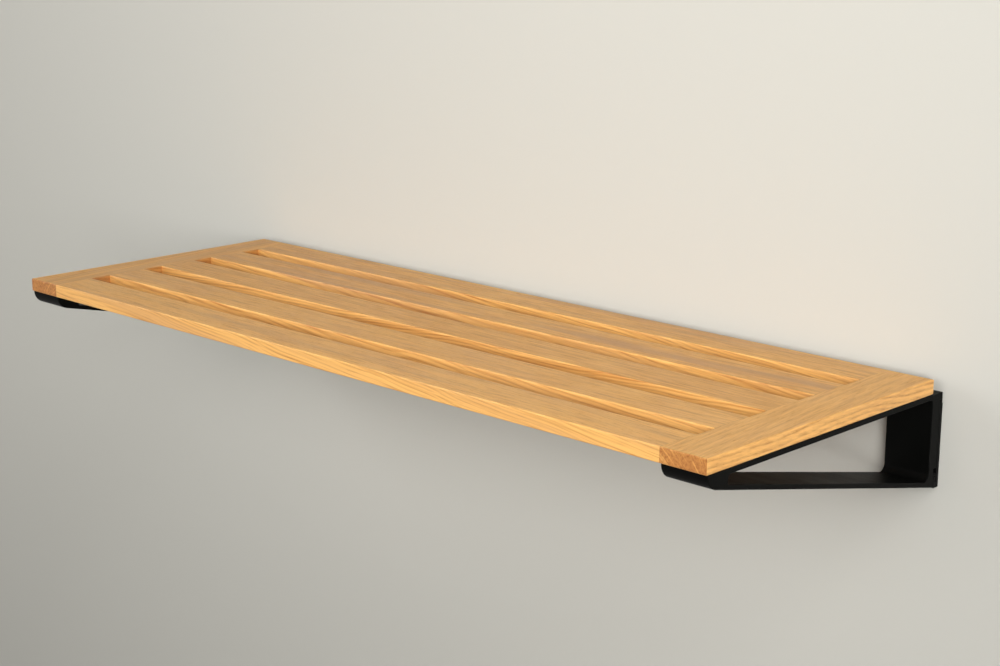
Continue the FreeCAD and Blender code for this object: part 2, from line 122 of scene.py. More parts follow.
class Graph:
    """Short way to write a shader node tree."""

    MIX_TYPES = {Kind.VALUE: "FLOAT", Kind.VECTOR: "VECTOR", Kind.COLOUR: "RGBA"}

    def __init__(self, tree: bpy.types.NodeTree) -> None:
        """Keep the tree that nodes are added to."""
        self.tree = tree

    def node(self, kind: str, **settings: object) -> bpy.types.Node:
        """Add one node.

        Args:
            kind: Node type without its ShaderNode prefix.
            settings: Properties of the node.

        Returns:
            The new node.
        """
        made = self.tree.nodes.new(f"ShaderNode{kind}")
        for name, setting in settings.items():
            setattr(made, name, setting)
        return made

    def feed(self, socket: Socket, value: Value) -> None:
        """Link a socket, or set its number.

        Args:
            socket: Input socket.
            value: Output socket, number, vector or colour.
        """
        if isinstance(value, bpy.types.NodeSocket):
            self.tree.links.new(value, socket)
        elif isinstance(value, tuple) and len(value) < len(socket.default_value):
            socket.default_value = (*value, 1.0)
        else:
            socket.default_value = value

    def math(self, operation: str, *values: Value) -> Socket:
        """Add a Math node.

        Args:
            operation: Its operation.
            values: Its inputs.

        Returns:
            The result.
        """
        made = self.node("Math", operation=operation)
        for socket, value in zip(made.inputs, values):
            self.feed(socket, value)
        return made.outputs["Value"]

    def product(self, first: Value, second: Value) -> Socket:
        """Multiply two values."""
        return self.math("MULTIPLY", first, second)

    def minus(self, first: Value, second: Value) -> Socket:
        """Take the second value from the first."""
        return self.math("SUBTRACT", first, second)

    def plus(self, base: Value, value: Value, share: Value) -> Socket:
        """Add a share of a value to a base."""
        return self.math("MULTIPLY_ADD", value, share, base)

    def unsigned(self, value: Socket) -> Socket:
        """Drop the sign of a value."""
        return self.math("ABSOLUTE", value)

    def swing(self, noise: Socket) -> Socket:
        """Tell how far a noise is from its middle."""
        return self.minus(noise, NOISE_MIDDLE)

    def vector(self, operation: str, *values: Value) -> Socket:
        """Add a Vector Math node whose result is a vector.

        Args:
            operation: Its operation.
            values: Its inputs.

        Returns:
            The result.
        """
        made = self.node("VectorMath", operation=operation)
        for socket, value in zip(made.inputs, values):
            self.feed(socket, value)
        return made.outputs["Vector"]

    def split(self, vector: Socket) -> tuple[Socket, Socket, Socket]:
        """Take a vector apart.

        Args:
            vector: The vector.

        Returns:
            Its x, y and z.
        """
        made = self.node("SeparateXYZ")
        self.feed(made.inputs["Vector"], vector)
        return made.outputs["X"], made.outputs["Y"], made.outputs["Z"]

    def join(self, x: Value, y: Value, z: Value) -> Socket:
        """Put a vector together.

        Args:
            x: First part.
            y: Second part.
            z: Third part.

        Returns:
            The vector.
        """
        made = self.node("CombineXYZ")
        for socket, value in zip(made.inputs, (x, y, z)):
            self.feed(socket, value)
        return made.outputs["Vector"]

    def noise(self, place: Socket, waves: Waves, shift: Socket | None = None) -> Socket:
        """Add a noise texture.

        Args:
            place: Where it is read.
            waves: Its waves.
            shift: Stretch of the noise that is used, in waves.

        Returns:
            Its value, about 0.5.
        """
        read_at = self.vector("MULTIPLY", place, waves.count)
        if shift is not None:
            read_at = self.vector("ADD", read_at, shift)
        made = self.node("TexNoise")
        inputs = {"Vector": read_at, "Scale": 1.0, "Detail": waves.detail, "Roughness": waves.rough}
        for name, value in inputs.items():
            self.feed(made.inputs[name], value)
        return made.outputs["Fac"]

    def ramp(self, value: Socket, span: Span, start: float = 0.0, end: float = 1.0) -> Socket:
        """Go smoothly from one number to another over a span, and stay there beyond it.

        Args:
            value: The value.
            span: Where it changes.
            start: Result below the span.
            end: Result above the span.

        Returns:
            The result.
        """
        made = self.node("MapRange", interpolation_type="SMOOTHSTEP")
        inputs = {
            "Value": value,
            "From Min": span.low,
            "From Max": span.high,
            "To Min": start,
            "To Max": end,
        }
        for name, number in inputs.items():
            self.feed(made.inputs[name], number)
        return made.outputs["Result"]

    def fade(self, value: Socket, span: Span) -> Socket:
        """Fall smoothly from 1 to 0 over a span."""
        return self.ramp(value, span, 1.0, 0.0)

    def between(
        self, kind: Kind, share: Value, first: Value, second: Value, blend: Blend = Blend.MIX
    ) -> Socket:
        """Mix two values of one kind.

        Args:
            kind: What is mixed.
            share: How much of the second value.
            first: Value below.
            second: Value on top.
            blend: How two colours combine.

        Returns:
            The mixed value.
        """
        made = self.node("Mix", data_type=self.MIX_TYPES[kind], blend_type=blend.value)
        inputs = {socket.identifier: socket for socket in made.inputs}
        self.feed(inputs["Factor_Float"], share)
        self.feed(inputs[f"A_{kind.value}"], first)
        self.feed(inputs[f"B_{kind.value}"], second)
        return next(socket for socket in made.outputs if socket.identifier == f"Result_{kind.value}")

    def mix(self, share: Value, below: Value, above: Value, blend: Blend = Blend.MIX) -> Socket:
        """Lay a share of one colour over another."""
        return self.between(Kind.COLOUR, share, below, above, blend)

    def seen(self) -> Socket:
        """Tell what the camera sees, directly, mirrored or through glass, from what only lights the scene.

        Returns:
            1 where it is seen, and 0 elsewhere.
        """
        path = self.node("LightPath").outputs
        mirrored = self.math("MAXIMUM", path["Is Glossy Ray"], path["Is Transmission Ray"])
        return self.math("MAXIMUM", path["Is Camera Ray"], mirrored)


class SurfaceGroup:
    """A node group with named inputs and outputs that several materials use."""

    def __init__(self, name: str, inputs: dict[str, Kind], outputs: dict[str, Kind]) -> None:
        """Make an empty group.

        Args:
            name: Its name.
            inputs: Kind of each input by name.
            outputs: Kind of each output by name.
        """
        self.tree = bpy.data.node_groups.new(name, "ShaderNodeTree")
        for direction, sockets in (("INPUT", inputs), ("OUTPUT", outputs)):
            for socket, kind in sockets.items():
                self.tree.interface.new_socket(
                    socket, in_out=direction, socket_type=f"NodeSocket{kind.value}"
                )
        self.graph = Graph(self.tree)
        self.given = self.tree.nodes.new("NodeGroupInput").outputs
        self.result = self.tree.nodes.new("NodeGroupOutput").inputs

    def give(self, **values: Socket) -> None:
        """Connect the group's outputs.

        Args:
            values: Outputs by name, with underscores for spaces.
        """
        for name, value in values.items():
            self.graph.feed(self.result[name.replace("_", " ")], value)

    def put(self, graph: Graph, **values: Value) -> Outputs:
        """Place the group in a tree.

        Args:
            graph: Tree that uses it.
            values: Inputs by name, with underscores for spaces.

        Returns:
            The placed group's outputs.
        """
        made = graph.node("Group", node_tree=self.tree)
        for name, value in values.items():
            graph.feed(made.inputs[name.replace("_", " ")], value)
        return made.outputs


class BoardSpace:
    """Coordinates of a board: x along its fibres, whichever way the board lies."""

    def build(self) -> SurfaceGroup:
        """Make the group.

        Returns:
            The group.
        """
        group = SurfaceGroup(
            "board_space",
            {"Position": Kind.VECTOR, "Facing": Kind.VECTOR, "Turn": Kind.VALUE},
            {"Place": Kind.VECTOR, "Cut": Kind.VECTOR},
        )
        group.give(Place=self.turned(group, "Position"), Cut=self.turned(group, "Facing"))
        return group

    def turned(self, group: SurfaceGroup, name: str) -> Socket:
        """Swap the x and y of a vector where the board is turned.

        Args:
            group: Group that it is made in.
            name: Input that holds the vector.

        Returns:
            The vector in the board's own coordinates.
        """
        straight = group.given[name]
        x, y, z = group.graph.split(straight)
        swapped = group.graph.join(y, x, z)
        return group.graph.between(Kind.VECTOR, group.given["Turn"], straight, swapped)


@dataclass(frozen=True)
class OakFigure:
    """Growth rings, fibres, pores and rays of ring-porous wood, solid through the board.

    The waves are per metre along the fibres, across them and out of the board. Those of the drift and the
    rays are along the fibres, around the pith and away from it, and those of the uneven rings are per ring.
    The drift of the rings is in metres, and their unevenness in rings.
    """

    drift: float = 0.016
    drift_waves: Waves = Waves((6.0, 2.0, 9.0))
    uneven_rings: float = 1.2
    uneven_waves: Waves = Waves((0.4, 0.0, 0.0), detail=1.0)
    early_wood: Span = Span(0.1, 0.6)
    late_wood: Span = Span(0.86, 1.0)
    fibre_waves: Waves = Waves((7.0, 700.0, 700.0), detail=3.0, rough=0.6)
    streak_waves: Waves = Waves((2.4, 340.0, 340.0), detail=3.0, rough=0.55)
    band_waves: Waves = Waves((1.0, 60.0, 60.0))
    pore_waves: Waves = Waves((38.0, 2200.0, 2200.0), detail=1.0)
    pore_level: float = 0.68
    pore_drop: float = 0.11
    pore_edge: Span = Span(0.0, 0.07)
    ray_waves: Waves = Waves((40.0, 75.0, 60.0), detail=1.0)
    ray_edge: Span = Span(0.55, 0.7)
    mottle_waves: Waves = Waves.even(420.0, detail=3.0, rough=0.6)
    end_facing: Span = Span(0.25, 0.7)
    top_facing: Span = Span(0.6, 0.92)

    def in_log(self, group: SurfaceGroup) -> tuple[Socket, Socket, Socket]:
        """Find where each point of the board lay in the log.

        Args:
            group: Group that it is made in.

        Returns:
            The place along the log, beside the pith and above it, the place along the log, around the pith
            and away from it, and the distance from the pith.
        """
        graph, given = group.graph, group.given
        along, across, up = graph.split(given["Place"])
        side = graph.minus(graph.plus(across, along, given["Lean Across"]), given["Pith Across"])
        rise = graph.minus(graph.plus(up, along, given["Lean Up"]), given["Pith Up"])
        away = graph.math("SQRT", graph.plus(graph.product(rise, rise), side, side))
        around = graph.math("ARCTAN2", rise, side)
        return graph.join(along, side, rise), graph.join(along, around, away), away

    def grown(self, group: SurfaceGroup, place: Socket, waves: Waves) -> Socket:
        """Noise at a stretch of the log that no other board has."""
        return group.graph.noise(place, waves, group.given["Stretch"])

    def rings(self, group: SurfaceGroup, round_log: Socket, away: Socket) -> Socket:
        """Make the growth rings, which wander and differ in width.

        Args:
            group: Group that they are made in.
            round_log: Place along the log, around the pith and away from it.
            away: Distance from the pith.

        Returns:
            1 in the dark of a ring, and 0 in its pale part.
        """
        graph = group.graph
        drift = graph.swing(self.grown(group, round_log, self.drift_waves))
        count = graph.math("DIVIDE", graph.plus(away, drift, self.drift), group.given["Ring Width"])
        uneven = graph.noise(graph.join(count, 0.0, 0.0), self.uneven_waves)
        step = graph.math("FRACT", graph.plus(count, uneven, self.uneven_rings))
        return graph.math("MAXIMUM", graph.fade(step, self.early_wood), graph.ramp(step, self.late_wood))

    def build(self) -> SurfaceGroup:
        """Make the group.

        Returns:
            The group.
        """
        vectors = ("Place", "Cut", "Stretch")
        numbers = ("Pith Across", "Pith Up", "Ring Width", "Lean Across", "Lean Up")
        results = ("Ring", "Fibre", "Streak", "Band", "Pore", "Ray", "Mottle", "End", "Top")
        group = SurfaceGroup(
            "oak_figure",
            dict.fromkeys(vectors, Kind.VECTOR) | dict.fromkeys(numbers, Kind.VALUE),
            dict.fromkeys(results, Kind.VALUE),
        )
        graph = group.graph
        log, round_log, away = self.in_log(group)
        ring = self.rings(group, round_log, away)
        dashes = self.grown(group, log, self.pore_waves)
        opened = graph.minus(dashes, graph.plus(self.pore_level, ring, -self.pore_drop))
        flecks = self.grown(group, round_log, self.ray_waves)
        end, _, top = graph.split(group.given["Cut"])
        group.give(
            Ring=ring,
            Fibre=self.grown(group, log, self.fibre_waves),
            Streak=self.grown(group, log, self.streak_waves),
            Band=self.grown(group, log, self.band_waves),
            Pore=graph.ramp(opened, self.pore_edge),
            Ray=graph.ramp(flecks, self.ray_edge),
            Mottle=graph.noise(group.given["Place"], self.mottle_waves),
            End=graph.ramp(graph.unsigned(end), self.end_facing),
            Top=graph.ramp(graph.unsigned(top), self.top_facing),
        )
        return group


@dataclass(frozen=True)
class PatchyEdges:
    """Mask of rounded or bevelled edges, broken up into patches: worn arrises on the wood, and on the black
    metal both wear and a painted highlight where the arrises catch light.

    An edge is where the part of the facing that lies along one direction is near the slope.
    """

    slope: float = 0.62
    off_slope: Span = Span(0.2, 0.42)
    patch_waves: Waves = Waves.even(1.0, detail=3.0)
    patch_edge: Span = Span(0.35, 0.7)

    def build(self) -> SurfaceGroup:
        """Make the group.

        Returns:
            The group.
        """
        group = SurfaceGroup(
            "patchy_edges",
            {"Position": Kind.VECTOR, "Facing": Kind.VECTOR, "Along": Kind.VECTOR, "Patch": Kind.VALUE},
            {"Worn": Kind.VALUE},
        )
        graph, given = group.graph, group.given
        lean = graph.node("VectorMath", operation="DOT_PRODUCT")
        graph.feed(lean.inputs[0], graph.vector("ABSOLUTE", given["Facing"]))
        graph.feed(lean.inputs[1], given["Along"])
        tilt = graph.unsigned(graph.minus(lean.outputs["Value"], self.slope))
        place = graph.vector("MULTIPLY", given["Position"], given["Patch"])
        patches = graph.ramp(graph.noise(place, self.patch_waves), self.patch_edge)
        group.give(Worn=graph.product(graph.fade(tilt, self.off_slope), patches))
        return group


@dataclass(frozen=True)
class SeamAndSlotShade:
    """Hairline where the end of a slat meets the side of a rail, and painted shade that darkens the ends of
    the slots.

    Both fade with the distance from the joint, in metres.
    """

    line: Span = Span(0.00015, 0.0003)
    # Reach of the painted shade on the ends of the slots, away from the joint
    painted_slot_shade: Span = Span(0.0006, 0.0014)
    end_facing: Span = Span(0.1, 0.4)

    def build(self) -> SurfaceGroup:
        """Make the group.

        Returns:
            The group.
        """
        group = SurfaceGroup(
            "seam_and_slot_shade",
            {"Position": Kind.VECTOR, "Facing": Kind.VECTOR, "Joint": Kind.VALUE},
            {"Line": Kind.VALUE, "Slot End": Kind.VALUE},
        )
        graph, given = group.graph, group.given
        x, _, _ = graph.split(given["Position"])
        facing_x, _, _ = graph.split(given["Facing"])
        away = graph.unsigned(graph.minus(graph.unsigned(x), given["Joint"]))
        flush = graph.fade(graph.unsigned(facing_x), self.end_facing)
        group.give(
            Line=graph.product(graph.fade(away, self.line), flush),
            # Painted shade on the faces that close the ends of the slots
            Slot_End=graph.product(graph.fade(away, self.painted_slot_shade), graph.minus(1.0, flush)),
        )
        return group


@dataclass(frozen=True)
class Handling:
    """Faint clouds and specks that hands and dust leave on a finish."""

    cloud_waves: Waves = Waves.even(16.0, detail=4.0, rough=0.55)
    speck_waves: Waves = Waves.even(900.0, detail=1.0)
    speck_edge: Span = Span(0.72, 0.8)

    def build(self) -> SurfaceGroup:
        """Make the group.

        Returns:
            The group.
        """
        group = SurfaceGroup(
            "handling", {"Position": Kind.VECTOR}, {"Cloud": Kind.VALUE, "Speck": Kind.VALUE}
        )
        graph, place = group.graph, group.given["Position"]
        group.give(
            Cloud=graph.noise(place, self.cloud_waves),
            Speck=graph.ramp(graph.noise(place, self.speck_waves), self.speck_edge),
        )
        return group


@dataclass(frozen=True)
class BoardCut:
    """How one board was sawn from the log, and how its figure came out.

    Attributes:
        grain: Which way the fibres run.
        stretch: Part of the log's noise that the board has, its own for each board.
        pith_across: Place of the pith across the fibres, in metres of the shelf's frame.
        pith_up: Height of the pith, in metres of the shelf's frame.
        ring_width: Width of one ring, in metres.
        lean_across: Sideways slope of the rings along the board.
        lean_up: Upward slope of the rings along the board.
        warmth: How much of the blush its bands take.
        streaks: Strength of its streaks.
        depth: Its tone, from 0 for the light colour to 1 for the dark one.
    """

    grain: Grain
    stretch: float
    pith_across: float
    pith_up: float
    ring_width: float
    lean_across: float
    lean_up: float
    warmth: float
    streaks: float
    depth: float


@dataclass(frozen=True)
class WoodFinish:
    """Colours and gloss of an oiled wood, and how strongly its figure shows."""

    light: Colour
    dark: Colour
    blush: Colour
    pore: Colour
    end: Colour
    seam: Colour
    # Colour laid over the ends of the slots as painted shade
    painted_slot_shade: Colour
    rings_on_top: float
    rings_on_edge: float
    rings_on_end: float
    fibres: float
    rays_on_end: float
    end_mottle: float
    roughness: float
    relief: float
    rays_on_sides: float = 0.08
    pore_share: float = 0.24
    arris_share: float = 0.1
    seam_share: float = 0.25
    blush_edge: Span = Span(0.42, 0.7)
    arris_patches: float = 35.0
    pore_roughness: float = 0.2
    cloud_roughness: float = 0.16
    worn_roughness: float = -0.08
    fibre_relief: float = 0.35
    relief_strength: float = 0.35


@dataclass(frozen=True)
class MetalFinish:
    """Colours and gloss of a black finish on metal, and the marks of drawing and sawing under it."""

    body: Colour
    cloud: Colour
    # Paler colour of worn edges and dust specks; along the edges it is also a painted highlight of the
    # arrises catching light
    wear_and_highlight: Colour
    shine: float
    roughness: float
    relief: float
    drawn_waves: Waves = Waves((6.0, 1500.0, 1500.0))
    sawn_waves: Waves = Waves((0.0, 160.0, 2200.0))
    sawn_facing: Span = Span(0.6, 0.95)
    cloud_edge: Span = Span(0.4, 0.75)
    arris_share: float = 0.6
    speck_share: float = 0.25
    arris_patches: float = 60.0
    line_roughness: float = 0.22
    cloud_roughness: float = 0.2
    relief_strength: float = 0.2


class Surface:
    """A new material, its graph and its shader."""

    def __init__(self, name: str) -> None:
        """Begin the material with a bare shader.

        Args:
            name: Its name.
        """
        self.material = bpy.data.materials.new(name)
        self.material.use_nodes = True
        self.material.node_tree.nodes.clear()
        self.graph = Graph(self.material.node_tree)
        self.shader = self.graph.node("BsdfPrincipled")
        self.out = self.graph.node("OutputMaterial").inputs["Surface"]
        self.graph.feed(self.out, self.shader.outputs["BSDF"])

    def place(self) -> tuple[Socket, Socket]:
        """Read the position and the facing of each point in the shelf's frame."""
        made = self.graph.node("TexCoord")
        return made.outputs["Object"], made.outputs["Normal"]

    def paint(self, colour: Value, roughness: Value) -> None:
        """Set the shader's colour and roughness."""
        self.graph.feed(self.shader.inputs["Base Color"], colour)
        self.graph.feed(self.shader.inputs["Roughness"], roughness)

    def emboss(self, height: Socket, strength: float, depth: float) -> None:
        """Give the surface a fine relief.

        Args:
            height: Its height.
            strength: How strongly it shows.
            depth: Depth of a height of 1, in metres.
        """
        bump = self.graph.node("Bump")
        bump.inputs["Strength"].default_value = strength
        bump.inputs["Distance"].default_value = depth
        self.graph.feed(bump.inputs["Height"], height)
        self.graph.feed(self.shader.inputs["Normal"], bump.outputs["Normal"])


class Materials:
    """The shared groups, and the materials made from them."""

    def __init__(self) -> None:
        """Build each group once."""
        self.board_space = BoardSpace().build()
        self.oak_figure = OakFigure().build()
        self.patchy_edges = PatchyEdges().build()
        self.seam_and_slot_shade = SeamAndSlotShade().build()
        self.handling = Handling().build()

    def figure(self, graph: Graph, position: Socket, facing: Socket, cut: BoardCut) -> Outputs:
        """Place the figure of one board in its material.

        Args:
            graph: Graph of the material.
            position: Position in the shelf's frame.
            facing: Facing in the shelf's frame.
            cut: How the board was sawn.

        Returns:
            The outputs of the oak figure.
        """
        board = self.board_space.put(graph, Position=position, Facing=facing, Turn=cut.grain.value)
        return self.oak_figure.put(
            graph,
            Place=board["Place"],
            Cut=board["Cut"],
            Stretch=(cut.stretch, cut.stretch, 0.0),
            Pith_Across=cut.pith_across,
            Pith_Up=cut.pith_up,
            Ring_Width=cut.ring_width,
            Lean_Across=cut.lean_across,
            Lean_Up=cut.lean_up,
        )

    def figure_colour(self, graph: Graph, figure: Outputs, finish: WoodFinish, cut: BoardCut) -> Socket:
        """Colour a board by its figure.

        Args:
            graph: Graph of the material.
            figure: Outputs of the oak figure.
            finish: The wood's colours.
            cut: How the board was sawn.

        Returns:
            The colour of the bare wood.
        """
        rings = graph.between(Kind.VALUE, figure["Top"], finish.rings_on_edge, finish.rings_on_top)
        rings = graph.between(Kind.VALUE, figure["End"], rings, finish.rings_on_end)
        tone = graph.plus(cut.depth, figure["Ring"], rings)
        tone = graph.plus(tone, graph.swing(figure["Fibre"]), finish.fibres)
        tone = graph.plus(tone, graph.swing(figure["Streak"]), cut.streaks)
        mottle = graph.product(graph.swing(figure["Mottle"]), figure["End"])
        tone = graph.plus(tone, mottle, finish.end_mottle)
        colour = graph.mix(tone, finish.light, finish.dark)
        blush = graph.ramp(figure["Band"], finish.blush_edge, 0.0, cut.warmth)
        colour = graph.mix(blush, colour, finish.blush)
        colour = graph.mix(figure["End"], colour, finish.end, Blend.MULTIPLY)
        ray_share = graph.plus(finish.rays_on_sides, figure["End"], finish.rays_on_end)
        colour = graph.mix(graph.product(figure["Ray"], ray_share), colour, finish.light)
        pores = graph.product(figure["Pore"], finish.pore_share)
        return graph.mix(pores, colour, finish.pore, Blend.MULTIPLY)

    def wood(self, name: str, finish: WoodFinish, cut: BoardCut) -> bpy.types.Material:
        """Material of one board.

        Args:
            name: Its name.
            finish: The wood's colours.
            cut: How the board was sawn.

        Returns:
            The material.
        """
        surface = Surface(name)
        graph = surface.graph
        position, facing = surface.place()
        figure = self.figure(graph, position, facing, cut)
        marks = self.handling.put(graph, Position=position)
        seam_and_shade = self.seam_and_slot_shade.put(graph, Position=position, Facing=facing, Joint=JOINT_FROM_MIDDLE)
        edges = self.patchy_edges.put(
            graph, Position=position, Facing=facing, Along=UPWARDS, Patch=finish.arris_patches
        )

        colour = self.figure_colour(graph, figure, finish, cut)
        colour = graph.mix(graph.product(edges["Worn"], finish.arris_share), colour, finish.light)
        colour = graph.mix(graph.product(seam_and_shade["Line"], finish.seam_share), colour, finish.seam)
        # Painted shade darkens the ends of the slots
        colour = graph.mix(seam_and_shade["Slot End"], colour, finish.painted_slot_shade, Blend.MULTIPLY)

        roughness = graph.plus(finish.roughness, figure["Pore"], finish.pore_roughness)
        roughness = graph.plus(roughness, graph.swing(marks["Cloud"]), finish.cloud_roughness)
        roughness = graph.plus(roughness, edges["Worn"], finish.worn_roughness)
        surface.paint(colour, roughness)

        height = graph.minus(graph.product(figure["Fibre"], finish.fibre_relief), figure["Pore"])
        surface.emboss(height, finish.relief_strength, finish.relief)
        return surface.material

    def black_metal(self, name: str, finish: MetalFinish) -> bpy.types.Material:
        """Material of an extruded or turned black piece.

        Args:
            name: Its name.
            finish: Its colours and gloss.

        Returns:
            The material.
        """
        surface = Surface(name)
        graph = surface.graph
        position, facing = surface.place()
        marks = self.handling.put(graph, Position=position)
        edges = self.patchy_edges.put(
            graph, Position=position, Facing=facing, Along=SIDEWAYS, Patch=finish.arris_patches
        )
        side, _, _ = graph.split(facing)
        cut_end = graph.ramp(graph.unsigned(side), finish.sawn_facing)
        drawn = graph.noise(position, finish.drawn_waves)
        sawn = graph.noise(position, finish.sawn_waves)
        line = graph.between(Kind.VALUE, cut_end, drawn, sawn)

        colour = graph.mix(graph.ramp(marks["Cloud"], finish.cloud_edge), finish.body, finish.cloud)
        # Lighter edges: wear, and a painted highlight where the rounded arrises catch light
        colour = graph.mix(graph.product(edges["Worn"], finish.arris_share), colour, finish.wear_and_highlight)
        colour = graph.mix(graph.product(marks["Speck"], finish.speck_share), colour, finish.wear_and_highlight)

        roughness = graph.plus(finish.roughness, graph.swing(line), finish.line_roughness)
        roughness = graph.plus(roughness, graph.swing(marks["Cloud"]), finish.cloud_roughness)
        surface.paint(colour, roughness)
        surface.shader.inputs["Specular IOR Level"].default_value = finish.shine
        surface.emboss(line, finish.relief_strength, finish.relief)
        return surface.material


def dress(node: str, material: bpy.types.Material) -> None:
    """Give a piece of the frame its finish.

    Args:
        node: Name of the piece.
        material: Its finish.
    """
    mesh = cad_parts[node].data
    mesh.materials.clear()
    mesh.materials.append(material)
    LOG.info("%s: %s", node, material.name)


@dataclass
class OakTop:
    """The glued oak top: two end rails, five slats and the loose tenons inside their joints."""

    oak: WoodFinish = WoodFinish(
        light=linear(248, 189, 107),
        dark=linear(186, 116, 45),
        blush=linear(206, 152, 101),
        pore=linear(176, 128, 86),
        end=linear(198, 175, 159),
        seam=linear(150, 100, 58),
        # The ends of the slots are darkened as painted shade
        painted_slot_shade=linear(206, 190, 177),
        rings_on_top=0.1,
        rings_on_edge=0.33,
        rings_on_end=0.1,
        fibres=1.2,
        rays_on_end=0.32,
        end_mottle=2.4,
        roughness=0.46,
        relief=0.0004,
    )
    beech: WoodFinish = WoodFinish(
        light=linear(226, 184, 142),
        dark=linear(203, 154, 112),
        blush=linear(214, 160, 122),
        pore=linear(190, 150, 120),
        end=linear(214, 190, 172),
        seam=linear(150, 110, 78),
        painted_slot_shade=linear(206, 190, 177),
        rings_on_top=0.2,
        rings_on_edge=0.2,
        rings_on_end=0.1,
        fibres=0.5,
        rays_on_end=0.2,
        end_mottle=0.6,
        roughness=0.6,
        relief=0.0003,
    )
    boards: dict[str, BoardCut] = field(
        default_factory=lambda: {
            "end_rail_left": BoardCut(
                Grain.FRONT_TO_BACK, stretch=3.1, pith_across=-0.46, pith_up=-0.02, ring_width=0.0034,
                lean_across=0.09, lean_up=0.02, warmth=0.4, streaks=1.1, depth=0.2,
            ),
            "end_rail_right": BoardCut(
                Grain.FRONT_TO_BACK, stretch=5.7, pith_across=0.41, pith_up=-0.045, ring_width=0.004,
                lean_across=0.12, lean_up=0.06, warmth=0.12, streaks=0.85, depth=0.13,
            ),
            "front_slat": BoardCut(
                Grain.ALONG_SHELF, stretch=1.3, pith_across=-0.36, pith_up=-0.03, ring_width=0.0022,
                lean_across=0.01, lean_up=0.09, warmth=0.45, streaks=1.7, depth=0.02,
            ),
            "middle_slat_1": BoardCut(
                Grain.ALONG_SHELF, stretch=7.9, pith_across=-0.13, pith_up=-0.02, ring_width=0.0022,
                lean_across=-0.01, lean_up=0.06, warmth=0.3, streaks=1.6, depth=0.12,
            ),
            "middle_slat_2": BoardCut(
                Grain.ALONG_SHELF, stretch=11.2, pith_across=-0.25, pith_up=-0.03, ring_width=0.002,
                lean_across=0.007, lean_up=-0.05, warmth=0.05, streaks=1.5, depth=0.26,
            ),
            "middle_slat_3": BoardCut(
                Grain.ALONG_SHELF, stretch=14.6, pith_across=0.02, pith_up=-0.02, ring_width=0.0024,
                lean_across=-0.01, lean_up=0.06, warmth=0.8, streaks=1.7, depth=0.18,
            ),
            "back_slat": BoardCut(
                Grain.ALONG_SHELF, stretch=17.5, pith_across=-0.13, pith_up=-0.025, ring_width=0.0022,
                lean_across=0.01, lean_up=0.07, warmth=0.7, streaks=1.7, depth=0.15,
            ),
        }
    )
    tenon_stretches: dict[str, float] = field(
        default_factory=lambda: {"tenons_left": 21.0, "tenons_right": 23.0}
    )

    def tenon_cut(self, stretch: float) -> BoardCut:
        """How the tenons of one rail were sawn, from plain straight wood.

        Args:
            stretch: Stretch of the log that they come from.

        Returns:
            The cut.
        """
        return BoardCut(
            Grain.ALONG_SHELF, stretch, pith_across=-0.3, pith_up=-0.1, ring_width=0.002,
            lean_across=0.0, lean_up=0.0, warmth=0.1, streaks=0.3, depth=0.0,
        )

    def dress(self, materials: Materials) -> None:
        """Give each board, and the tenons of each rail, their own stretch of wood.

        Args:
            materials: Maker of the finishes.
        """
        for node, cut in self.boards.items():
            dress(node, materials.wood(f"wood_{node}", self.oak, cut))
        for node, stretch in self.tenon_stretches.items():
            dress(node, materials.wood(f"wood_{node}", self.beech, self.tenon_cut(stretch)))


@dataclass
class Brackets:
    """The extruded brackets, the wall plates that they hook onto, and their screws."""

    sides: tuple[str, str] = ("left", "right")
    # The paler edge colour of each finish is wear and also a painted highlight along the arrises
    anodised: MetalFinish = MetalFinish(
        body=(0.002, 0.0021, 0.0018),
        cloud=(0.003, 0.003, 0.0027),
        wear_and_highlight=(0.016, 0.016, 0.015),
        shine=0.04,
        roughness=0.42,
        relief=0.0001,
    )
    plate: MetalFinish = MetalFinish(
        body=(0.003, 0.003, 0.0028),
        cloud=(0.0045, 0.0045, 0.0042),
        wear_and_highlight=(0.02, 0.02, 0.019),
        shine=0.045,
        roughness=0.46,
        relief=0.0001,
    )
    oxide: MetalFinish = MetalFinish(
        body=(0.02, 0.02, 0.021),
        cloud=(0.028, 0.027, 0.026),
        wear_and_highlight=(0.16, 0.155, 0.15),
        shine=0.5,
        roughness=0.38,
        relief=0.00008,
    )

    def dress(self, materials: Materials) -> None:
        """Give the metal its black finishes.

        Args:
            materials: Maker of the finishes.
        """
        anodised = materials.black_metal("anodised_bracket", self.anodised)
        plate = materials.black_metal("anodised_plate", self.plate)
        oxide = materials.black_metal("black_oxide", self.oxide)
        for side in self.sides:
            dress(f"bracket_{side}", anodised)
            dress(f"wall_plate_{side}", plate)
            dress(f"bracket_screws_{side}", oxide)


@dataclass(frozen=True)
class SoftBox:
    """One large round lamp behind a diffuser, in metres, watts and radians."""

    name: str
    place: Triple
    power: float
    aim: Triple = (0.0, -0.15, 0.05)
    width: float = 1.8
    beam: float = math.pi


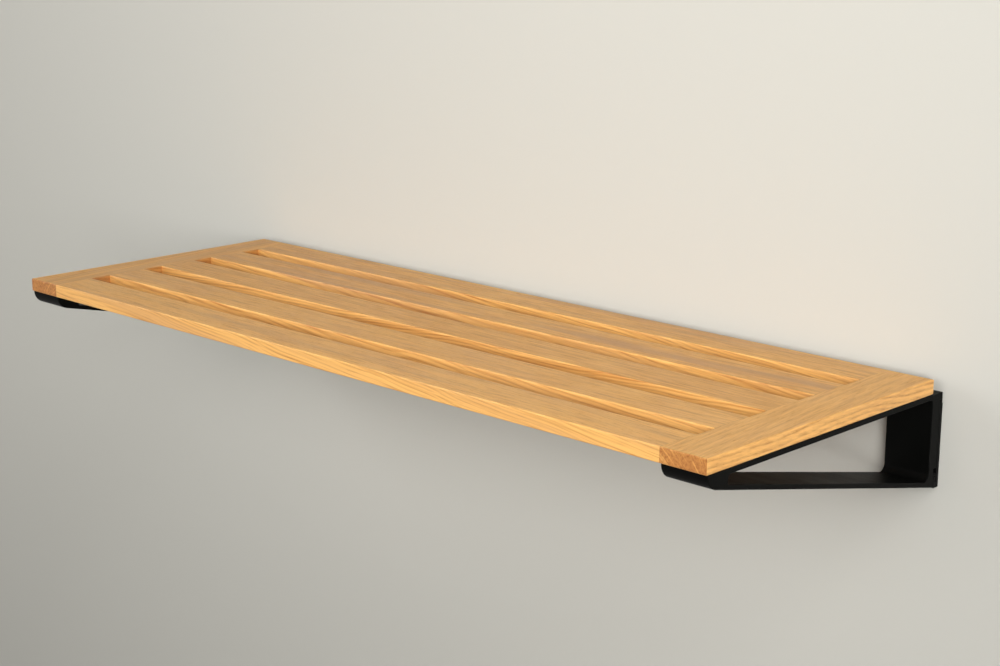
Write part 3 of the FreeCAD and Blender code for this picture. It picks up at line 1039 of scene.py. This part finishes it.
@dataclass
class Studio:
    """Wall, floor, lamps and camera around the shelf, in metres and radians, the lens in millimetres."""

    wall_colour: Colour = linear(205, 203, 194)
    floor_colour: Colour = linear(214, 210, 204)
    wall_haze: float = 0.0
    floor_haze: float = 0.65
    sheet_roughness: float = 0.9
    wall_reach: float = 6.0
    wall_offset: float = 0.0005
    floor_depth: float = -0.95
    above: Colour = (0.106, 0.104, 0.102)
    below: Colour = (0.06, 0.058, 0.057)
    horizon: Span = Span(-0.35, 0.25)
    backdrop: Colour = (0.6, 0.59, 0.575)
    camera_place: Triple = (1.1118, -1.2331, 0.42285)
    camera_yaw: float = math.radians(-43.819)
    camera_pitch: float = math.radians(13.761)
    camera_roll: float = math.radians(0.233)
    camera_lens: float = 67.33
    lamps: tuple[SoftBox, ...] = (
        SoftBox("right_high", place=(2.6, -0.8, 2.0), power=43.0),
        SoftBox("left_front", place=(-2.2, -2.2, 1.0), power=27.5),
        SoftBox(
            "wall_wash", place=(0.6, -2.4, 0.9), power=4.9,
            aim=(0.02, 0.0, 0.66), width=1.2, beam=math.radians(75.0),
        ),
        SoftBox(
            "right_beam", place=(2.2, -2.2, 0.7), power=11.4,
            aim=(0.05, -0.15, 0.3), width=1.4, beam=math.radians(70.0),
        ),
        SoftBox("behind_low", place=(0.3, 2.2, -0.7), power=20.0),
    )

    def sheet_finish(self, name: str, colour: Colour, haze: float) -> bpy.types.Material:
        """Matt paint that shows from the front only.

        Args:
            name: Its name.
            colour: Its colour.
            haze: How far it fades into the backdrop.

        Returns:
            The material.
        """
        surface = Surface(name)
        graph = surface.graph
        surface.paint(colour, self.sheet_roughness)
        glow = graph.node("Emission")
        graph.feed(glow.inputs["Color"], self.backdrop)
        faded = graph.node("MixShader")
        graph.feed(faded.inputs["Fac"], graph.product(graph.seen(), haze))
        graph.feed(faded.inputs[1], surface.shader.outputs["BSDF"])
        graph.feed(faded.inputs[2], glow.outputs["Emission"])
        clear = graph.node("BsdfTransparent")
        choice = graph.node("MixShader")
        graph.feed(choice.inputs["Fac"], graph.node("NewGeometry").outputs["Backfacing"])
        graph.feed(choice.inputs[1], faded.outputs["Shader"])
        graph.feed(choice.inputs[2], clear.outputs["BSDF"])
        graph.feed(surface.out, choice.outputs["Shader"])
        return surface.material

    def sheet(self, name: str, corners: list[Triple], material: bpy.types.Material) -> None:
        """Add one flat sheet, which takes the object's shadow and leaves the light on the object as it is.

        Args:
            name: Its name.
            corners: Its corners, anticlockwise from the front.
            material: Its finish.
        """
        mesh = bpy.data.meshes.new(name)
        mesh.from_pydata(corners, [], [range(len(corners))])
        mesh.materials.append(material)
        made = bpy.data.objects.new(name, mesh)
        made.visible_diffuse = False
        made.visible_shadow = False
        bpy.context.scene.collection.objects.link(made)

    def build_room(self) -> None:
        """Add the wall behind the shelf and a floor well below it."""
        reach, depth, back = self.wall_reach, self.floor_depth, self.wall_offset
        wall = [(-reach, back, depth), (reach, back, depth), (reach, back, reach), (-reach, back, reach)]
        floor = [
            (-reach, -reach, depth),
            (reach, -reach, depth),
            (reach, reach, depth),
            (-reach, reach, depth),
        ]
        self.sheet("wall", wall, self.sheet_finish("wall", self.wall_colour, self.wall_haze))
        self.sheet("floor", floor, self.sheet_finish("floor", self.floor_colour, self.floor_haze))

    def build_sky(self) -> None:
        """Light the scene evenly, less from below, and show a pale backdrop past the wall."""
        world = bpy.data.worlds.new("soft_sky")
        world.use_nodes = True
        world.node_tree.nodes.clear()
        graph = Graph(world.node_tree)
        _, _, up = graph.split(graph.node("TexCoord").outputs["Generated"])
        light = graph.mix(graph.ramp(up, self.horizon), self.below, self.above)
        sky = graph.node("Background")
        graph.feed(sky.inputs["Color"], graph.mix(graph.seen(), light, self.backdrop))
        graph.feed(graph.node("OutputWorld").inputs["Surface"], sky.outputs["Background"])
        bpy.context.scene.world = world

    def build_lamps(self) -> None:
        """Add the soft boxes, which the camera doesn't see."""
        for box in self.lamps:
            lamp = bpy.data.lights.new(box.name, "AREA")
            lamp.shape = "DISK"
            lamp.size = box.width
            lamp.energy = box.power
            lamp.spread = box.beam
            made = bpy.data.objects.new(box.name, lamp)
            made.location = box.place
            aim = Vector(box.aim) - made.location
            made.rotation_euler = aim.to_track_quat("-Z", "Y").to_euler()
            made.visible_camera = False
            bpy.context.scene.collection.objects.link(made)

    def build_camera(self) -> None:
        """Stand the camera where the photograph was taken from."""
        level = math.cos(self.camera_pitch)
        ahead = Vector(
            (
                math.sin(self.camera_yaw) * level,
                math.cos(self.camera_yaw) * level,
                -math.sin(self.camera_pitch),
            )
        )
        right = Vector((math.cos(self.camera_yaw), -math.sin(self.camera_yaw), 0.0))
        up = right.cross(ahead)
        cos_roll, sin_roll = math.cos(self.camera_roll), math.sin(self.camera_roll)
        right, up = right * cos_roll + up * sin_roll, up * cos_roll - right * sin_roll
        camera = bpy.data.cameras.new("camera")
        camera.lens = self.camera_lens
        made = bpy.data.objects.new("camera", camera)
        turn = Matrix((right, up, -ahead)).transposed()
        made.matrix_world = Matrix.Translation(self.camera_place) @ turn.to_4x4()
        bpy.context.scene.collection.objects.link(made)
        bpy.context.scene.camera = made

    def build(self) -> None:
        """Set up the whole studio."""
        bpy.context.scene.view_settings.view_transform = "Standard"
        self.build_room()
        self.build_sky()
        self.build_lamps()
        self.build_camera()


def main() -> None:
    """Dress every piece, then set up the studio."""
    logging.basicConfig(level=logging.INFO, format="%(message)s")
    materials = Materials()
    OakTop().dress(materials)
    Brackets().dress(materials)
    Studio().build()


if __name__ == "__main__":
    main()
